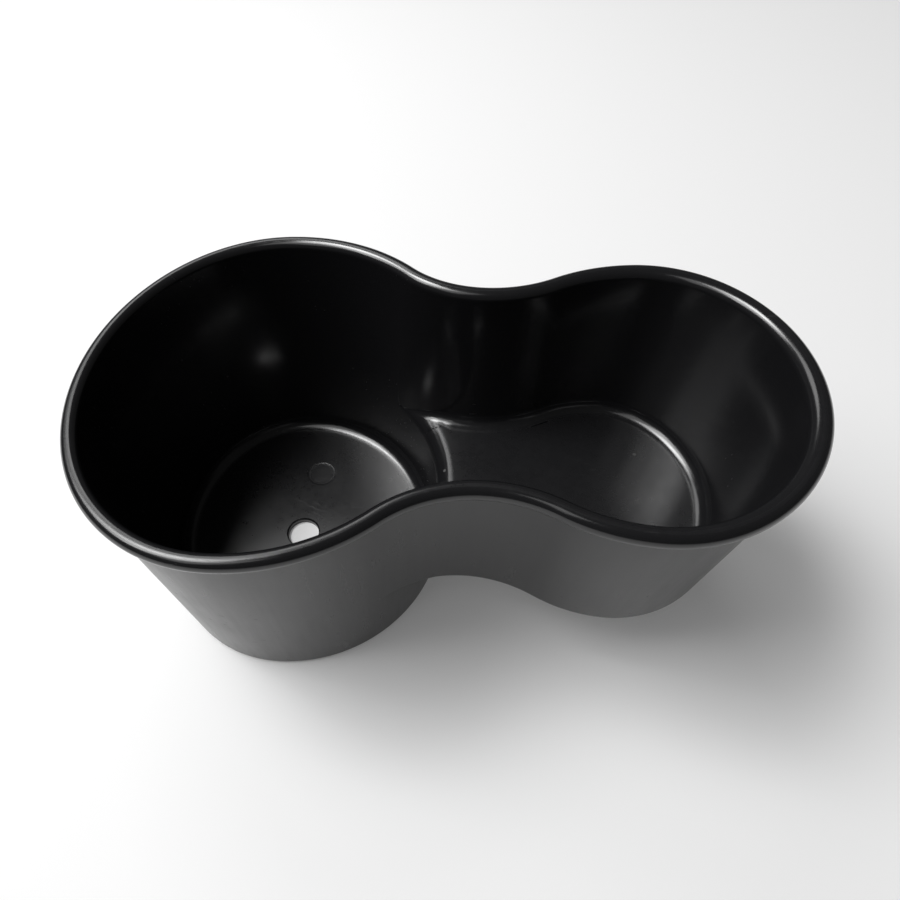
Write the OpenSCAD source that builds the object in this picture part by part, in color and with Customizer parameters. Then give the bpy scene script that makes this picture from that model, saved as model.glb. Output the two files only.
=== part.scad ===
// Double cup holder insert, moulded in one piece of black plastic.
// It has a deep cup, a shallow cup and a waist between them, with one rolled rim round the whole opening.
// X runs along the two cups with the deep one at -X, Y runs across them, and Z is up.
// The origin lies under the middle of the holder, at the level of the deep cup's foot.

/* [Cups] */
// Radius of the deep cup, over its rim
deep_r = 56.5; // [54:0.5:59]
// Reach of the deep cup from its axis to its flatter outer end
deep_end = 50.3; // [46:0.1:54]
// Radius of the shallow cup, over its rim
shallow_r = 41.5; // [39:0.5:44]
// Reach of the shallow cup from its axis to its flatter outer end
shallow_end = 35.7; // [32:0.1:39]
// Distance between the two axes
pitch = 94; // [90:0.5:97]
// Radius of the waist's hollow on either side, over the rim
waist_r = 31.5; // [28:0.5:36]

/* [Heights] */
// Height of the holder
height = 79; // [70:0.5:90]
// Height of the shallow cup's underside over the foot
shelf_z = 29.5; // [20:0.5:38]
// Slope of the walls outside, in degrees
draft = 2.5; // [1.5:0.1:3]
// Slope of the walls inside, in degrees
inner_draft = 3.5; // [2.5:0.1:4]

/* [Wall and rim] */
// Thickness of the floors, and of the walls at the rim
wall = 2.2; // [1.8:0.1:2.6]
// Overhang of the rim past the wall
rim_out = 2.2; // [2:0.1:2.8]
// Radius of the rim's rolled outer edge
rim_r = 2.2; // [2:0.1:2.4]
// Depth of the rim, from its top to its flat underside
rim_h = 4; // [3:0.1:4]

/* [Rounded corners] */
// Fillet round the deep floor
deep_fillet = 5; // [3:0.5:7]
// Fillet round the shallow floor
shallow_fillet = 4; // [2:0.1:4.5]
// Rounding of the step between the two floors
step_round = 5.2; // [3:0.1:6]
// Rounding under the foot and under the shallow cup
foot_round = 2; // [1:0.1:2.5]
// Fillet where the shallow cup's underside meets the deep cup
under_fillet = 1.5; // [0.8:0.1:2]

/* [Drain] */
// Diameter of the drain hole
drain_d = 11; // [6:0.5:16]
// Place of the drain hole along X, from the deep cup's axis
drain_x = 3; // [-20:0.5:20]
// Place of the drain hole along Y
drain_y = -3; // [-12:0.5:6]
// Width of the broken edge at the top of the drain hole
drain_edge = 0.5; // [0.2:0.1:0.8]
// Diameter of the round mark that the ejector pin leaves
pin_mark_d = 9.5; // [6:0.5:12]
// Place of that mark along X, from the deep cup's axis
pin_mark_x = 5.4; // [-12:0.1:12]
// Place of that mark along Y
pin_mark_y = 23; // [21:0.5:27]

/* [Hidden] */

pin_mark_depth = 0.15;
floor_z = shelf_z + wall;
middle_x = (pitch + shallow_end - deep_end) / 2;
clear = 1;

// Centre of the waist's hollow, tangent to both cups, and the angles at which it leaves them
deep_reach = deep_r + waist_r;
shallow_reach = shallow_r + waist_r;
waist_x = (deep_reach ^ 2 - shallow_reach ^ 2 + pitch ^ 2) / (2 * pitch);
waist_y = sqrt(deep_reach ^ 2 - waist_x ^ 2);
deep_tangent = atan2(waist_y, waist_x);
shallow_tangent = atan2(waist_y, waist_x - pitch);

// Steps round each stretch of the outline, and in each rounded corner of the section
end_steps = 15;
deep_steps = 7;
waist_in_steps = 8;
waist_out_steps = 5;
shallow_steps = 5;
far_steps = 13;
small_steps = 2;
corner_steps = 4;
under_edge_steps = 2;
top_edge_steps = 5;
fillet_steps = 6;

// Plan. A station is [point of the rim's outline, outward normal, direction of its line across the shelf].
// The direction is from the deep cup's axis, and stations round the deep cup have none.

function unit(v) = v / norm(v);
function turned(a) = [cos(a), sin(a)];
function between(from, to, i, steps) = from + (to - from) * i / steps;

// Outer half of a cup: half an ellipse, so that the end is flatter than the sides
function end_station(axis_x, reach, r, a) =
    [[axis_x + reach * cos(a), r * sin(a)], unit([r * cos(a), reach * sin(a)])];

function cup_station(axis_x, r, a) = [[axis_x, 0] + r * turned(a), turned(a)];

function waist_station(a) = [[waist_x, waist_y] + waist_r * turned(a), -turned(a)];

deep_side = concat(
    [for (i = [0 : end_steps - 1]) end_station(0, deep_end, deep_r, between(180, 90, i, end_steps))],
    [for (i = [0 : deep_steps]) cup_station(0, deep_r, between(90, deep_tangent, i, deep_steps))]
);

waist_in = [
    for (i = [1 : waist_in_steps])
        waist_station(between(180 + deep_tangent, 270, i, waist_in_steps))
];

shallow_side = concat(
    [for (i = [1 : waist_out_steps])
        waist_station(between(270, 180 + shallow_tangent, i, waist_out_steps))],
    [for (i = [1 : shallow_steps])
        cup_station(pitch, shallow_r, between(shallow_tangent, 90, i, shallow_steps))],
    [for (i = [1 : far_steps])
        end_station(pitch, shallow_end, shallow_r, between(90, 0, i, far_steps))]
);

// The shelf's lines fan out from the deep cup's axis as far as the waist, then close up to the middle
function inset_point(station, inset) = station[0] - inset * station[1];
function seen_from_deep(station) = unit(inset_point(station, inner(floor_z)));
narrow = seen_from_deep(waist_in[waist_in_steps - 1]);
narrow_angle = atan2(narrow.y, narrow.x);

waist_stations = [for (s = waist_in) [s[0], s[1], seen_from_deep(s)]];
shallow_stations = [
    for (i = [0 : len(shallow_side) - 1])
        [shallow_side[i][0], shallow_side[i][1], turned(between(narrow_angle, 0, i + 1, len(shallow_side)))]
];
half = concat(deep_side, waist_stations, shallow_stations);

function flipped(v) = [v.x, -v.y];
function mirrored(s) = is_undef(s[2]) ? [flipped(s[0]), flipped(s[1])] : [for (v = s) flipped(v)];
stations = concat(half, [for (i = [len(half) - 2 : -1 : 1]) mirrored(half[i])]);

// Section. Its points are [inset from the rim's outline, height].
// The wall has an outer and an inner face, and the inner one slopes more.

function outer(z) = rim_out + (height - z) * tan(draft);
function inner(z) = rim_out + wall + (height - z) * tan(inner_draft);
function lean(inside) = inside ? inner_draft : draft;
function on_wall(z, inside) = [inside ? inner(z) : outer(z), z];
function arc(centre, r, from, to, steps) =
    [for (i = [0 : steps]) centre + r * turned(between(from, to, i, steps))];

// Corner between a level face and one face of the wall, tangent to both
function corner(z, r, inside, steps) =
    let (a = lean(inside), centre = on_wall(z + r - r * sin(a), inside) + r * [cos(a), sin(a)])
    arc(centre, r, 270, 180 + a, steps);
function reversed(list) = [for (i = [len(list) - 1 : -1 : 0]) list[i]];

// Rim: a flat underside, a rolled outer edge and a rounded way down into the cup
rim_in_r = (rim_out + wall - rim_r) * cos(inner_draft) / (1 - sin(inner_draft));
underside_angle = 180 + asin((rim_h - rim_r) / rim_r);
rim_centre = [rim_r, height - rim_r];
rim_low = arc(rim_centre, rim_r, underside_angle, 180, under_edge_steps);
rim_high = arc(rim_centre, rim_r, 180, 90, top_edge_steps);
rim_inside = arc([rim_r, height - rim_in_r], rim_in_r, 90, inner_draft, corner_steps);
rim = concat(
    [on_wall(height - rim_h, false)],
    rim_low,
    [for (i = [1 : top_edge_steps]) rim_high[i]],
    [for (i = [1 : corner_steps]) rim_inside[i]]
);

foot = corner(0, foot_round, false, corner_steps);
deep_floor = reversed(corner(wall, deep_fillet, true, fillet_steps));

// The shelf runs out into the deep cup's wall at its two tips, and its corners underneath shrink towards them
function rim_point(s, p) = concat(inset_point(s, p.x), p.y);
function deep_point(s, p) = is_undef(s[2]) ? rim_point(s, p) : concat((deep_r - p.x) * s[2], p.y);
function shelf_width(s, inset) = norm(inset_point(s, inset) - (deep_r - inset) * s[2]);
function shrink(s, inset, room) = min(1, shelf_width(s, inset) / room);

function under_shelf(s, k) = concat(
    [for (p = arc(on_wall(shelf_z, false) - k * under_fillet * [1, 1], k * under_fillet, 0, 90, small_steps))
        deep_point(s, p)],
    [for (p = corner(shelf_z, k * foot_round, false, corner_steps)) rim_point(s, p)]
);

// On top the step keeps its rounding to the very tips, where the wall cuts it off.
// The distance past the step is measured out from the deep cup's wall, round its axis.
step_start = deep_r - inner(floor_z - step_round);
function past_step(point) = norm(point) - step_start;
function step_angle(past) = acos(1 - min(1, past / step_round));
function step_height(past) = floor_z - step_round * (1 - sin(step_angle(past)));
function step_slope(past) = past >= step_round ? 0 : 1 / tan(step_angle(past));

// Fillet from the wall to the top of the shelf, with its corner where the two would meet
function shelf_fillet(s, r) =
    let (
        foot = inset_point(s, inner(floor_z) + r),
        past = past_step(foot),
        foot_z = step_height(past),
        corner_z = foot_z + r * step_slope(past) * (unit(foot) * s[1]),
        tip = rim_point(s, [inner(corner_z), corner_z]),
        up = rim_point(s, [inner(corner_z + r), corner_z + r]) - tip,
        along = concat(foot, foot_z) - tip
    )
    [for (i = [0 : corner_steps])
        let (a = 90 * i / corner_steps) tip + (1 - sin(a)) * up + (1 - cos(a)) * along];

// Rounded step from a point of the shelf's top, out and down to the deep cup's wall
function step_edge(s, from) =
    let (
        past = min(step_round, 0.85 * past_step(from)),
        first = past < step_round ? unit(from) : s[2]
    )
    [for (i = [0 : corner_steps])
        let (a = between(step_angle(past), 0, i, corner_steps))
        concat((step_start + step_round * (1 - cos(a))) * unit(between(first, s[2], i, corner_steps)),
            floor_z - step_round * (1 - sin(a)))];

function over_shelf(s) =
    let (fillet = shelf_fillet(s, shallow_fillet * shrink(s, inner(floor_z), shallow_fillet + step_round)))
    concat(fillet, step_edge(s, [fillet[corner_steps].x, fillet[corner_steps].y]));

// Round the deep cup the same number of points run straight down the wall
under_points = small_steps + corner_steps + 2;
over_points = 2 * corner_steps + 2;
function straight(s, top, bottom, inside, count) =
    [for (i = [0 : count - 1]) rim_point(s, on_wall(between(top, bottom, i, count - 1), inside))];

function outside_shelf(s) = is_undef(s[2])
    ? straight(s, shelf_z - under_fillet, shelf_z + foot_round, false, under_points)
    : under_shelf(s, shrink(s, outer(shelf_z), 2 * (under_fillet + foot_round)));

function inside_shelf(s) = is_undef(s[2])
    ? straight(s, floor_z + shallow_fillet, floor_z - step_round, true, over_points)
    : over_shelf(s);

// One station's section, from the foot up the outside, over the rim and down the inside to the deep floor
function section(s) = concat(
    [for (p = foot) deep_point(s, p)],
    outside_shelf(s),
    [for (p = rim) rim_point(s, p)],
    inside_shelf(s),
    [for (p = deep_floor) deep_point(s, p)]
);

// The shell: all the sections in turn, joined by triangles, and closed by the foot's and the floor's faces
module shell() {
    sections = [for (s = stations) section(s)];
    around = len(sections);
    along = len(sections[0]);
    points = [for (s = sections) each s];
    function at(i, k) = (i % around) * along + k;
    sides = [
        for (i = [0 : around - 1], k = [0 : along - 2])
            each [
                [at(i, k), at(i + 1, k + 1), at(i, k + 1)],
                [at(i, k), at(i + 1, k), at(i + 1, k + 1)]
            ]
    ];
    foot_face = [for (i = [around - 1 : -1 : 0]) at(i, 0)];
    floor_face = [for (i = [0 : around - 1]) at(i, along - 1)];
    polyhedron(points = points, faces = concat(sides, [foot_face], [floor_face]), convexity = 6);
}

// Drain hole with a broken upper edge
module drain() {
    translate([drain_x, drain_y, -clear])
        cylinder(d = drain_d, h = wall + 2 * clear, $fn = 48);
    translate([drain_x, drain_y, wall - drain_edge])
        cylinder(r1 = drain_d / 2, r2 = drain_d / 2 + drain_edge + clear, h = drain_edge + clear, $fn = 48);
}

// Shallow round mark that an ejector pin leaves in the deep floor
module pin_mark() {
    translate([pin_mark_x, pin_mark_y, wall - pin_mark_depth])
        cylinder(d = pin_mark_d, h = clear, $fn = 48);
}

module holder_body() {
    color([0.03, 0.03, 0.035])
        translate([-middle_x, 0, 0])
            difference() {
                shell();
                drain();
                pin_mark();
            }
}

holder_body();
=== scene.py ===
"""Double cup holder insert: one moulding of black plastic on a plain pale floor.

Everything is in metres, in the frame of the CAD model: X runs along the two cups with the deep one at -X,
Y runs across them, Z is up, and the holder stands on the floor at Z = 0.
"""
import math

import bpy
import numpy as np
from mathutils import Matrix, Vector


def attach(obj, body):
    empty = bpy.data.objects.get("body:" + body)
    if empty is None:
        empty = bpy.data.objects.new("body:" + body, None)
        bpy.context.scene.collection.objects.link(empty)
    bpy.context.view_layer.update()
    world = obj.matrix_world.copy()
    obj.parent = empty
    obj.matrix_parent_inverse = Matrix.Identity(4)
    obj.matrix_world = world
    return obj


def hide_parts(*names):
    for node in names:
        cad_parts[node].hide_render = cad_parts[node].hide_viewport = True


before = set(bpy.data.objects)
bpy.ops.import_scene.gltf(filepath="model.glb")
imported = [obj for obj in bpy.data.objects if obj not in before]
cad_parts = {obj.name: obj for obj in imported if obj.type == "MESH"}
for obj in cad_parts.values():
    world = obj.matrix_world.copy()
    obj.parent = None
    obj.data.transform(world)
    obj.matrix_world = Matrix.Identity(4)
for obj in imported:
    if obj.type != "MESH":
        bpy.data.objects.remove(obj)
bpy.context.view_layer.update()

MM = 0.001
NODE = "holder_body"

# Sizes of the holder, in millimetres, as in the part's source
DEEP_R = 56.5
DEEP_END = 50.3
SHALLOW_R = 41.5
SHALLOW_END = 35.7
PITCH = 94
WAIST_R = 31.5
HEIGHT = 79
SHELF_Z = 29.5
DRAFT = math.tan(math.radians(2.5))
INNER_DRAFT = math.tan(math.radians(3.5))
WALL = 2.2
RIM_OUT = 2.2
RIM_R = 2.2
RIM_H = 4
DEEP_FILLET = 5
SHALLOW_FILLET = 4
STEP_ROUND = 5.2
FOOT_ROUND = 2
UNDER_FILLET = 1.5
DRAIN_AT = np.array([3, -3])
DRAIN_R = 5.5
DRAIN_EDGE = 0.5
PIN_MARK_AT = np.array([5.4, 23])
PIN_MARK_R = 4.75
PIN_MARK_DEPTH = 0.15
PIN_MARK_SLOPE = 0.45

FLOOR_Z = SHELF_Z + WALL
MIDDLE_X = (PITCH + SHALLOW_END - DEEP_END) / 2

# Steps round each stretch of the outline, from the deep end to the shallow end
END_STEPS = 58
DEEP_STEPS = 28
WAIST_IN_STEPS = 32
WAIST_OUT_STEPS = 18
SHALLOW_STEPS = 18
FAR_STEPS = 46

# Steps along the section
CORNER_STEPS = 8
SMALL_STEPS = 5
ROLL_STEPS = 12
FILLET_STEPS = 12
WALL_ROWS = 6
SHELF_ROWS = 5
FOOT_ROWS = 8
MARK_ROWS = 26


# Plan of the holder

def turned(angle):
    return np.array([math.cos(math.radians(angle)), math.sin(math.radians(angle))])


def unit(v):
    return v / np.linalg.norm(v)


def steps(start, end, count):
    """The values after start, up to end, in equal steps."""
    return [start + (end - start) * (i + 1) / count for i in range(count)]


class Station:
    """A place on the rim's outline: its point, its outward normal, and its line's way across the shelf."""

    def __init__(self, point, normal, across=None):
        self.point = np.array(point, float)
        self.normal = np.array(normal, float)
        self.across = across

    def inset(self, distance):
        return self.point - distance * self.normal

    def mirrored(self):
        flip = np.array([1, -1])
        across = None if self.across is None else self.across * flip
        return Station(self.point * flip, self.normal * flip, across)


def end_station(axis_x, reach, r, angle):
    """Outer half of a cup: half an ellipse, so that the end is flatter than the sides."""
    c, s = turned(angle)
    return Station([axis_x + reach * c, r * s], unit(np.array([r * c, reach * s])))


def cup_station(axis_x, r, angle):
    return Station(np.array([axis_x, 0]) + r * turned(angle), turned(angle))


def outline():
    """All the stations in turn, from the deep end along the back to the shallow end and back in front."""
    deep_reach = DEEP_R + WAIST_R
    shallow_reach = SHALLOW_R + WAIST_R
    waist_x = (deep_reach**2 - shallow_reach**2 + PITCH**2) / (2 * PITCH)
    waist_y = math.sqrt(deep_reach**2 - waist_x**2)
    deep_tangent = math.degrees(math.atan2(waist_y, waist_x))
    shallow_tangent = math.degrees(math.atan2(waist_y, waist_x - PITCH))
    waist_at = np.array([waist_x, waist_y])

    def waist_station(angle):
        return Station(waist_at + WAIST_R * turned(angle), -turned(angle))

    deep = [end_station(0, DEEP_END, DEEP_R, a) for a in [180] + steps(180, 90, END_STEPS)]
    deep += [cup_station(0, DEEP_R, a) for a in steps(90, deep_tangent, DEEP_STEPS)]
    waist = [waist_station(a) for a in steps(180 + deep_tangent, 270, WAIST_IN_STEPS)]
    for station in waist:
        station.across = unit(station.inset(inner(FLOOR_Z)))
    shallow = [waist_station(a) for a in steps(270, 180 + shallow_tangent, WAIST_OUT_STEPS)]
    shallow += [cup_station(PITCH, SHALLOW_R, a) for a in steps(shallow_tangent, 90, SHALLOW_STEPS)]
    shallow += [end_station(PITCH, SHALLOW_END, SHALLOW_R, a) for a in steps(90, 0, FAR_STEPS)]
    narrow = math.degrees(math.atan2(waist[-1].across[1], waist[-1].across[0]))
    for station, angle in zip(shallow, steps(narrow, 0, len(shallow))):
        station.across = turned(angle)
    half = deep + waist + shallow
    return half + [station.mirrored() for station in half[-2:0:-1]]


# Section of the holder. Its points are [inset from the rim's outline, height].

def outer(z):
    return RIM_OUT + (HEIGHT - z) * DRAFT


def inner(z):
    return RIM_OUT + WALL + (HEIGHT - z) * INNER_DRAFT


def arc(centre, r, start, end, count):
    return [np.array(centre) + r * turned(a) for a in [start] + steps(start, end, count)]


def corner(z, r, face, count):
    """Corner between a level face and a wall, tangent to both, from the level face up."""
    lean = math.atan(face(z) - face(z + 1))
    centre = [face(z + r - r * math.sin(lean)) + r * math.cos(lean), z + r]
    return arc(centre, r, 270, 180 + math.degrees(lean), count)


def rim_profile():
    """The rim's stretches: its flat underside, then its rolled edge and its rounded way into the cup."""
    low_angle = 180 + math.degrees(math.asin((RIM_H - RIM_R) / RIM_R))
    lean = math.atan(INNER_DRAFT)
    inside_r = (RIM_OUT + WALL - RIM_R) * math.cos(lean) / (1 - math.sin(lean))
    roll = arc([RIM_R, HEIGHT - RIM_R], RIM_R, low_angle, 180, SMALL_STEPS)
    roll += arc([RIM_R, HEIGHT - RIM_R], RIM_R, 180, 90, ROLL_STEPS)[1:]
    roll += arc([RIM_R, HEIGHT - inside_r], inside_r, 90, math.degrees(lean), ROLL_STEPS)[1:]
    seat_z = HEIGHT - RIM_H
    return [np.array([outer(seat_z), seat_z])], roll


def at_rim(station, p):
    return np.append(station.inset(p[0]), p[1])


def at_deep(station, p):
    """A point of the deep cup's wall: below a shelf it is round the deep cup's axis."""
    if station.across is None:
        return at_rim(station, p)
    return np.append((DEEP_R - p[0]) * station.across, p[1])


def shrink(station, inset, room):
    """How far the shelf's corners shrink towards its two tips."""
    width = np.linalg.norm(station.inset(inset) - (DEEP_R - inset) * station.across)
    return min(1, width / room)


def down_the_wall(station, heights, face):
    return [at_rim(station, [face(z), z]) for z in heights]


def outside_shelf(station):
    """The two corners of the shallow cup's underside, or points up the wall where there is none."""
    if station.across is None:
        low, high = SHELF_Z - UNDER_FILLET, SHELF_Z + FOOT_ROUND
        middle = (low + high) / 2
        return [
            down_the_wall(station, [low] + steps(low, middle, SMALL_STEPS), outer),
            down_the_wall(station, steps(middle, high, CORNER_STEPS + 1), outer),
        ]
    k = shrink(station, outer(SHELF_Z), 2 * (UNDER_FILLET + FOOT_ROUND))
    r = k * UNDER_FILLET
    under = arc([outer(SHELF_Z) - r, SHELF_Z - r], r, 0, 90, SMALL_STEPS)
    return [
        [at_deep(station, p) for p in under],
        [at_rim(station, p) for p in corner(SHELF_Z, k * FOOT_ROUND, outer, CORNER_STEPS)],
    ]


def past_step(point):
    """How far a point of the shelf lies past the wall below it, measured out from the deep cup's axis."""
    return np.linalg.norm(point) - (DEEP_R - inner(FLOOR_Z - STEP_ROUND))


def step_angle(past):
    return math.acos(1 - min(1, past / STEP_ROUND))


def step_height(past):
    return FLOOR_Z - STEP_ROUND * (1 - math.sin(step_angle(past)))


def shelf_fillet(station):
    """Fillet from the wall down to the top of the shelf, which falls away near the shelf's tips."""
    r = SHALLOW_FILLET * shrink(station, inner(FLOOR_Z), SHALLOW_FILLET + STEP_ROUND)
    foot = station.inset(inner(FLOOR_Z) + r)
    past = past_step(foot)
    slope = 0 if past >= STEP_ROUND else 1 / math.tan(step_angle(past))
    foot_z = step_height(past)
    corner_z = foot_z + r * slope * (unit(foot) @ station.normal)
    tip = at_rim(station, [inner(corner_z), corner_z])
    up = at_rim(station, [inner(corner_z + r), corner_z + r]) - tip
    along = np.append(foot, foot_z) - tip
    angles = [math.radians(a) for a in [0] + steps(0, 90, CORNER_STEPS)]
    return [tip + (1 - math.sin(a)) * up + (1 - math.cos(a)) * along for a in angles]


def step_edge(station, start):
    """Rounded step from a point of the shelf's top, out and down to the deep cup's wall."""
    past = min(STEP_ROUND, 0.85 * past_step(start))
    first = unit(start) if past < STEP_ROUND else station.across
    centre = DEEP_R - inner(FLOOR_Z - STEP_ROUND) + STEP_ROUND
    points = []
    for i in range(CORNER_STEPS + 1):
        share = i / CORNER_STEPS
        angle = step_angle(past) * (1 - share)
        towards = unit(first + (station.across - first) * share)
        z = FLOOR_Z - STEP_ROUND * (1 - math.sin(angle))
        points.append(np.append((centre - STEP_ROUND * math.cos(angle)) * towards, z))
    return points


def inside_shelf(station):
    """The fillet and the rounded step of the shallow floor, or points down the wall where there is none."""
    if station.across is None:
        high, low = FLOOR_Z + SHALLOW_FILLET, FLOOR_Z - STEP_ROUND
        middle = (low + high) / 2
        return [
            down_the_wall(station, [high] + steps(high, middle, CORNER_STEPS), inner),
            down_the_wall(station, steps(middle, low, CORNER_STEPS + 1), inner),
        ]
    fillet = shelf_fillet(station)
    return [fillet, step_edge(station, fillet[-1][:2])]


def drain_points(towards):
    """Down the drain hole on the side that faces a point: its broken edge, its wall and its lower edge."""
    out = unit(towards[:2] - DRAIN_AT)
    profile = [[DRAIN_R + DRAIN_EDGE, WALL], [DRAIN_R, WALL - DRAIN_EDGE], [DRAIN_R, 0]]
    return [np.append(DRAIN_AT + r * out, z) for r, z in profile]


def rows(start, end, count):
    """Points between two others, both left out."""
    return [start + (end - start) * (i + 1) / (count + 1) for i in range(count)]


def floor_rows(start, end):
    """Rows across the deep floor, set close where they cross the ejector pin's mark."""
    reach = np.linalg.norm(PIN_MARK_AT - DRAIN_AT)
    margin = PIN_MARK_R + 2 * PIN_MARK_SLOPE
    length = np.linalg.norm(start[:2] - end[:2])
    span = reach - DRAIN_R - DRAIN_EDGE
    far, near = [start + (end - start) * (1 - (span + m) / length) for m in (margin, -margin)]
    across = [far] + rows(far, near, MARK_ROWS) + [near]
    return rows(start, far, SHELF_ROWS) + across + rows(near, end, FOOT_ROWS)


def pressed(p):
    """Sinks a point of the deep floor where the ejector pin has left its mark."""
    distance = np.linalg.norm(p[:2] - PIN_MARK_AT)
    share = min(1, max(0, (PIN_MARK_R - distance) / PIN_MARK_SLOPE + 0.5))
    return np.array([p[0], p[1], p[2] - PIN_MARK_DEPTH * share * share * (3 - 2 * share)])


def section(station):
    """One station's closed section, and the rows of it that are crisp edges or start a new finish."""
    seat, roll = rim_profile()
    foot = [at_deep(station, p) for p in corner(0, FOOT_ROUND, outer, CORNER_STEPS)]
    deep_floor = [at_deep(station, p) for p in corner(WALL, DEEP_FILLET, inner, FILLET_STEPS)[::-1]]
    under, below = outside_shelf(station)
    fillet, step = inside_shelf(station)
    seat = [at_rim(station, p) for p in seat]
    roll = [at_rim(station, p) for p in roll]
    drain = drain_points(deep_floor[-1])

    points = foot + rows(foot[-1], under[0], 2) + under + rows(under[-1], below[0], SHELF_ROWS) + below
    points += rows(below[-1], seat[0], WALL_ROWS) + seat
    crisp = [len(points) - 1, len(points)]
    points += roll + rows(roll[-1], fillet[0], WALL_ROWS)
    points += fillet + rows(fillet[-1], step[0], SHELF_ROWS) + step + rows(step[-1], deep_floor[0], 2)
    points += deep_floor + [pressed(p) for p in floor_rows(deep_floor[-1], drain[0])]
    crisp += [len(points), len(points) + 1, len(points) + 2]
    points += drain + rows(drain[-1], foot[0], FOOT_ROWS)
    return points, crisp


def make_body():
    """The whole moulding: all the sections in turn, joined into one closed skin of four-sided faces."""
    sections = [section(station) for station in outline()]
    crisp = set(sections[0][1])
    around, along = len(sections), len(sections[0][0])
    points = np.array([points for points, _ in sections]).reshape(-1, 3)
    points = (points - [MIDDLE_X, 0, 0]) * MM
    faces = []
    for i in range(around):
        for k in range(along):
            a, b = i * along, (i + 1) % around * along
            after = (k + 1) % along
            faces.append((a + k, a + after, b + after, b + k))
    mesh = bpy.data.meshes.new("moulding")
    mesh.from_pydata(points.tolist(), [], faces)
    mesh.validate()
    mesh.update()
    mesh.shade_smooth()
    seat_row = min(crisp) + 1
    for polygon in mesh.polygons:
        row = polygon.index % along
        polygon.material_index = 0 if row < seat_row or row >= max(crisp) else 1
    for edge in mesh.edges:
        first, second = [v // along for v in edge.vertices]
        if first != second and edge.vertices[0] % along in crisp:
            edge.use_edge_sharp = True
    body = bpy.data.objects.new("cup_holder_body", mesh)
    bpy.context.scene.collection.objects.link(body)
    even = body.modifiers.new("even shading", "WEIGHTED_NORMAL")
    even.keep_sharp = True
    return body


# Finish. Noise scales are in waves per metre, and the amounts are what each mark adds to the roughness.

PLASTIC_COLOUR = (0.009, 0.009, 0.0098, 1)
PLASTIC_IOR = 1.6
DUST_COLOUR = (0.05, 0.05, 0.05, 1)
HAIR_TINT = 0.12
BUMP_DEPTH = 0.02 * MM

OUTSIDE_ROUGHNESS, OUTSIDE_GRAIN = 0.3, 0.35
INSIDE_ROUGHNESS, INSIDE_GRAIN = 0.17, 0.15

PATCH_SCALE, PATCH_GLOSS = 45, 0.10
CLOUD_SCALE, CLOUD_GLOSS = 140, 0.06
DRAG_SCALE, DRAG_GLOSS = 420, 0.12
PEEL_SCALE, PEEL_HEIGHT = 650, 0.6
GRAIN_SCALE, GRAIN_HEIGHT = 3200, 0.4
HAIR_SCALE, HAIR_GLOSS, HAIR_HEIGHT = 1600, 0.12, -0.5
HAIR_PATCHES = 38
SPECK_CELLS, DUST_GLOSS = 90, 0.3

SCUFF_GLOSS = 0.12
PIN_DISC_GLOSS = 0.06
GROOVE_GLOSS, GROOVE_HEIGHT = 0.2, -14

FLOW_AT = np.array([4.6, 8])
FLOW_TURN = 17
FLOW_REACH = 4.5 * MM
FLOW_SCALE, FLOW_GLOSS, FLOW_HEIGHT = 900, 0.12, -3


class Nodes:
    """Short calls for building a material's node tree."""

    def __init__(self, tree):
        self.tree = tree

    def new(self, kind, **values):
        node = self.tree.nodes.new("ShaderNode" + kind)
        for name, value in values.items():
            setattr(node, name, value)
        return node

    def link(self, source, target):
        self.tree.links.new(source, target)

    def set(self, socket, value):
        """Links a socket or writes a plain value."""
        if isinstance(value, bpy.types.NodeSocket):
            self.link(value, socket)
        else:
            socket.default_value = value

    def math(self, operation, a, b=0.0, clamp=False):
        node = self.new("Math", operation=operation, use_clamp=clamp)
        self.set(node.inputs[0], a)
        self.set(node.inputs[1], b)
        return node.outputs[0]

    def noise(self, where, scale, detail=2.0, roughness=0.5):
        node = self.new("TexNoise")
        self.set(node.inputs["Vector"], where)
        node.inputs["Scale"].default_value = scale
        node.inputs["Detail"].default_value = detail
        node.inputs["Roughness"].default_value = roughness
        return node.outputs["Fac"]

    def ramp(self, value, low, high, to_low=0.0, to_high=1.0):
        node = self.new("MapRange", interpolation_type="SMOOTHSTEP")
        self.set(node.inputs["Value"], value)
        for name, number in zip(("From Min", "From Max", "To Min", "To Max"), (low, high, to_low, to_high)):
            node.inputs[name].default_value = number
        return node.outputs["Result"]


def scaled(nodes, where, scale):
    """The place stretched along the axes, for streaks that run along one of them."""
    node = nodes.new("VectorMath", operation="MULTIPLY")
    nodes.link(where, node.inputs[0])
    node.inputs[1].default_value = scale
    return node.outputs["Vector"]


def level_offset(nodes, where, centre):
    """Level offset from a point given in millimetres from the deep cup's axis."""
    offset = nodes.new("VectorMath", operation="SUBTRACT")
    nodes.link(where, offset.inputs[0])
    offset.inputs[1].default_value = ((centre[0] - MIDDLE_X) * MM, centre[1] * MM, 0)
    return scaled(nodes, offset.outputs["Vector"], (1, 1, 0))


def length(nodes, vector):
    node = nodes.new("VectorMath", operation="LENGTH")
    nodes.link(vector, node.inputs[0])
    return node.outputs["Value"]


def scuffed(nodes):
    """1 on the level floors, where cups are set down and dull the gloss."""
    parts = nodes.new("SeparateXYZ")
    nodes.link(nodes.new("TexCoord").outputs["Normal"], parts.inputs["Vector"])
    return nodes.ramp(parts.outputs["Z"], 0.95, 0.995)


def pin_distance(nodes, where):
    return length(nodes, level_offset(nodes, where, PIN_MARK_AT))


def pin_disc(nodes, where):
    """1 inside the ejector pin's mark, whose face is duller than the floor round it."""
    return nodes.ramp(pin_distance(nodes, where), (PIN_MARK_R - 0.6) * MM, PIN_MARK_R * MM, 1, 0)


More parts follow.
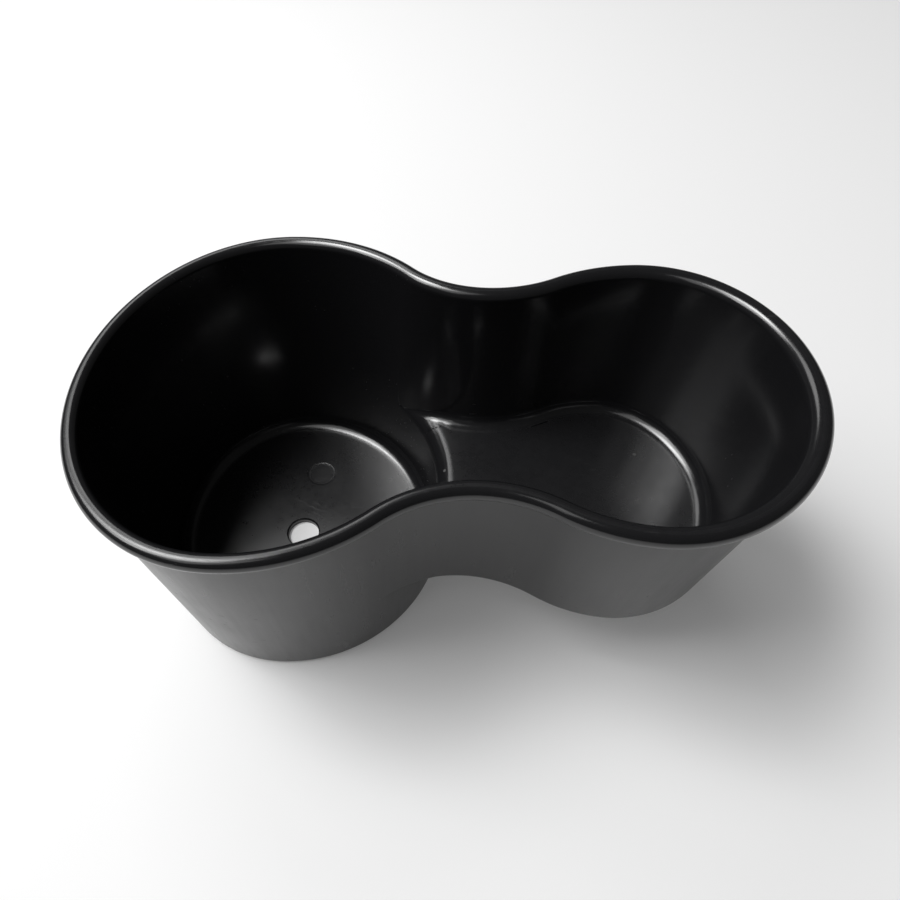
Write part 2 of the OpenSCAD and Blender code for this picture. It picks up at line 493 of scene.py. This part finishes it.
def pin_groove(nodes, where):
    """1 in the thin groove that the pin's edge left round its mark."""
    off_edge = nodes.math("ABSOLUTE", nodes.math("SUBTRACT", pin_distance(nodes, where), PIN_MARK_R * MM))
    return nodes.ramp(off_edge, 0.05 * MM, 0.4 * MM, 1, 0)


def flow_marks(nodes, where):
    """Short wavy lines beside the drain hole, where the plastic met again behind it."""
    offset = level_offset(nodes, where, FLOW_AT)
    turn = nodes.new("VectorRotate", rotation_type="Z_AXIS")
    nodes.link(offset, turn.inputs["Vector"])
    turn.inputs["Angle"].default_value = math.radians(FLOW_TURN)
    along = turn.outputs["Vector"]
    lines = nodes.noise(scaled(nodes, along, (0.16, 1, 1)), FLOW_SCALE, 2, 0.7)
    reach = length(nodes, scaled(nodes, along, (0.5, 1, 1)))
    near = nodes.ramp(reach, FLOW_REACH / 3, FLOW_REACH, 1, 0)
    return nodes.math("MULTIPLY", nodes.ramp(lines, 0.5, 0.66), near)


def scratches(nodes, where):
    """Sparse hair lines, long across the cups, that show only in some patches."""
    hairs = nodes.noise(scaled(nodes, where, (0.08, 1, 0.35)), HAIR_SCALE, 2, 0.6)
    patches = nodes.noise(where, HAIR_PATCHES, 2)
    return nodes.math("MULTIPLY", nodes.ramp(hairs, 0.66, 0.72), nodes.ramp(patches, 0.5, 0.62))


def specks(nodes, where):
    """A few small specks of dust."""
    cells = nodes.new("TexVoronoi")
    nodes.link(where, cells.inputs["Vector"])
    cells.inputs["Scale"].default_value = SPECK_CELLS
    chosen = nodes.new("SeparateColor")
    nodes.link(cells.outputs["Color"], chosen.inputs["Color"])
    few = nodes.ramp(chosen.outputs["Red"], 0.86, 0.88)
    spot = nodes.ramp(cells.outputs["Distance"], 0.03, 0.055, 1, 0)
    return nodes.math("MULTIPLY", few, spot)


def plastic(name, roughness, grain, marked):
    """Black moulded plastic with uneven gloss, a fine grain, drag marks down the walls and a little dust."""
    material = bpy.data.materials.new(name)
    material.use_nodes = True
    nodes = Nodes(material.node_tree)
    shader = material.node_tree.nodes["Principled BSDF"]
    where = nodes.new("TexCoord").outputs["Object"]
    patches = nodes.noise(where, PATCH_SCALE, 3)
    cloudy = nodes.noise(where, CLOUD_SCALE, 4, 0.6)
    drag = nodes.noise(scaled(nodes, where, (1, 1, 0.05)), DRAG_SCALE, 3, 0.6)
    peel = nodes.noise(where, PEEL_SCALE, 2)
    fine = nodes.noise(where, GRAIN_SCALE, 1)
    dust = specks(nodes, where)
    hairs = scratches(nodes, where)

    colour = nodes.new("Mix", data_type="RGBA")
    pale = nodes.math("MAXIMUM", dust, nodes.math("MULTIPLY", hairs, HAIR_TINT))
    nodes.link(pale, colour.inputs["Factor"])
    colour.inputs["A"].default_value = PLASTIC_COLOUR
    colour.inputs["B"].default_value = DUST_COLOUR
    nodes.link(colour.outputs["Result"], shader.inputs["Base Color"])

    gloss = roughness
    for value, amount in [(patches, PATCH_GLOSS), (cloudy, CLOUD_GLOSS), (drag, DRAG_GLOSS)]:
        change = nodes.math("MULTIPLY", nodes.math("SUBTRACT", value, 0.5), amount)
        gloss = nodes.math("ADD", change, gloss)
    duller = [(dust, DUST_GLOSS), (hairs, HAIR_GLOSS)]
    if marked:
        flow = flow_marks(nodes, where)
        groove = pin_groove(nodes, where)
        duller += [(flow, FLOW_GLOSS), (pin_disc(nodes, where), PIN_DISC_GLOSS), (groove, GROOVE_GLOSS)]
        duller += [(scuffed(nodes), SCUFF_GLOSS)]
    for value, amount in duller:
        gloss = nodes.math("ADD", nodes.math("MULTIPLY", value, amount), gloss, clamp=True)
    nodes.link(gloss, shader.inputs["Roughness"])
    shader.inputs["IOR"].default_value = PLASTIC_IOR

    height = nodes.math("MULTIPLY", peel, PEEL_HEIGHT)
    relief = [(fine, GRAIN_HEIGHT), (hairs, HAIR_HEIGHT)]
    if marked:
        relief += [(flow, FLOW_HEIGHT), (groove, GROOVE_HEIGHT)]
    for value, amount in relief:
        height = nodes.math("ADD", height, nodes.math("MULTIPLY", value, amount))
    bump = nodes.new("Bump")
    bump.inputs["Strength"].default_value = grain
    bump.inputs["Distance"].default_value = BUMP_DEPTH
    nodes.link(height, bump.inputs["Height"])
    nodes.link(bump.outputs["Normal"], shader.inputs["Normal"])
    return material


# Stage, light and camera. Lamps are [name, place in metres, side of the softbox, power in watts].

CAMERA_AT = Vector((11.61, -107.55, 189.88)) * MM
CAMERA_AZIMUTH = 23.702
CAMERA_ELEVATION = 57.997
CAMERA_ROLL = -15.906
CAMERA_LENS = 24.497
CAMERA_SHIFT = (0.1578, 0.0840)

FLOOR_SIZE = 6.0
FLOOR_COLOUR = (0.8, 0.8, 0.8, 1)
FLOOR_GLOW = 0.12
WORLD_STRENGTH = 0.05

LAMPS = [
    ["key from the left", (-0.861, 0.0, 1.269), 0.9, 14.6],
    ["small key behind it", (-0.480, 0.224, 0.888), 0.3, 2],
    ["narrow gloss lamp", (-0.462, 0.082, 0.923), 0.3, 2],
    ["soft fill from the front", (-0.651, -0.456, 1.312), 0.9, 3.4],
    ["back edge lamp", (-0.354, 0.612, 0.747), 0.4, 1.5],
]


def add_camera():
    data = bpy.data.cameras.new("camera")
    data.lens = CAMERA_LENS
    data.shift_x, data.shift_y = CAMERA_SHIFT
    data.clip_start = 0.01
    azimuth, elevation, roll = [math.radians(a) for a in (CAMERA_AZIMUTH, CAMERA_ELEVATION, CAMERA_ROLL)]
    flat = math.cos(elevation)
    back = Vector((math.sin(azimuth) * flat, -math.cos(azimuth) * flat, math.sin(elevation)))
    level = (-back).cross(Vector((0, 0, 1))).normalized()
    above = level.cross(-back)
    right = math.cos(roll) * level + math.sin(roll) * above
    up = math.cos(roll) * above - math.sin(roll) * level
    camera = bpy.data.objects.new("camera", data)
    camera.matrix_world = Matrix.Translation(CAMERA_AT) @ Matrix((right, up, back)).transposed().to_4x4()
    bpy.context.scene.collection.objects.link(camera)
    bpy.context.scene.camera = camera


def seen_directly(nodes):
    """1 for rays that show the background itself: from the camera, in a reflection or through glass."""
    path = nodes.new("LightPath")
    both = nodes.math("ADD", path.outputs["Is Camera Ray"], path.outputs["Is Glossy Ray"])
    return nodes.math("ADD", both, path.outputs["Is Transmission Ray"], clamp=True)


def add_floor():
    side = FLOOR_SIZE / 2
    mesh = bpy.data.meshes.new("floor")
    corners = [(-side, -side, 0), (side, -side, 0), (side, side, 0), (-side, side, 0)]
    mesh.from_pydata(corners, [], [(0, 1, 2, 3)])
    floor = bpy.data.objects.new("floor", mesh)
    bpy.context.scene.collection.objects.link(floor)
    material = bpy.data.materials.new("pale floor")
    material.use_nodes = True
    nodes = Nodes(material.node_tree)
    shader = material.node_tree.nodes["Principled BSDF"]
    shader.inputs["Base Color"].default_value = FLOOR_COLOUR
    shader.inputs["Roughness"].default_value = 1
    shader.inputs["Specular IOR Level"].default_value = 0
    shader.inputs["Emission Color"].default_value = (1, 1, 1, 1)
    nodes.link(nodes.math("MULTIPLY", seen_directly(nodes), FLOOR_GLOW), shader.inputs["Emission Strength"])
    mesh.materials.append(material)


def add_world():
    world = bpy.data.worlds.new("studio")
    world.use_nodes = True
    bpy.context.scene.world = world
    world.node_tree.nodes["Background"].inputs["Color"].default_value = (1, 1, 1, 1)
    world.node_tree.nodes["Background"].inputs["Strength"].default_value = WORLD_STRENGTH


def add_lamp(name, at, size, power):
    """A square softbox that faces the middle of the holder."""
    data = bpy.data.lights.new(name, "AREA")
    data.size = size
    data.energy = power
    lamp = bpy.data.objects.new(name, data)
    lamp.location = at
    aim = Vector((0, 0, HEIGHT / 2 * MM)) - Vector(at)
    lamp.rotation_euler = aim.to_track_quat("-Z", "Y").to_euler()
    bpy.context.scene.collection.objects.link(lamp)


body = make_body()
body.data.materials.append(plastic("satin outside", OUTSIDE_ROUGHNESS, OUTSIDE_GRAIN, False))
body.data.materials.append(plastic("glossy inside", INSIDE_ROUGHNESS, INSIDE_GRAIN, True))
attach(body, "root")
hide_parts(NODE)

add_camera()
add_floor()
add_world()
for lamp in LAMPS:
    add_lamp(*lamp)

bpy.context.scene.view_settings.view_transform = "Standard"
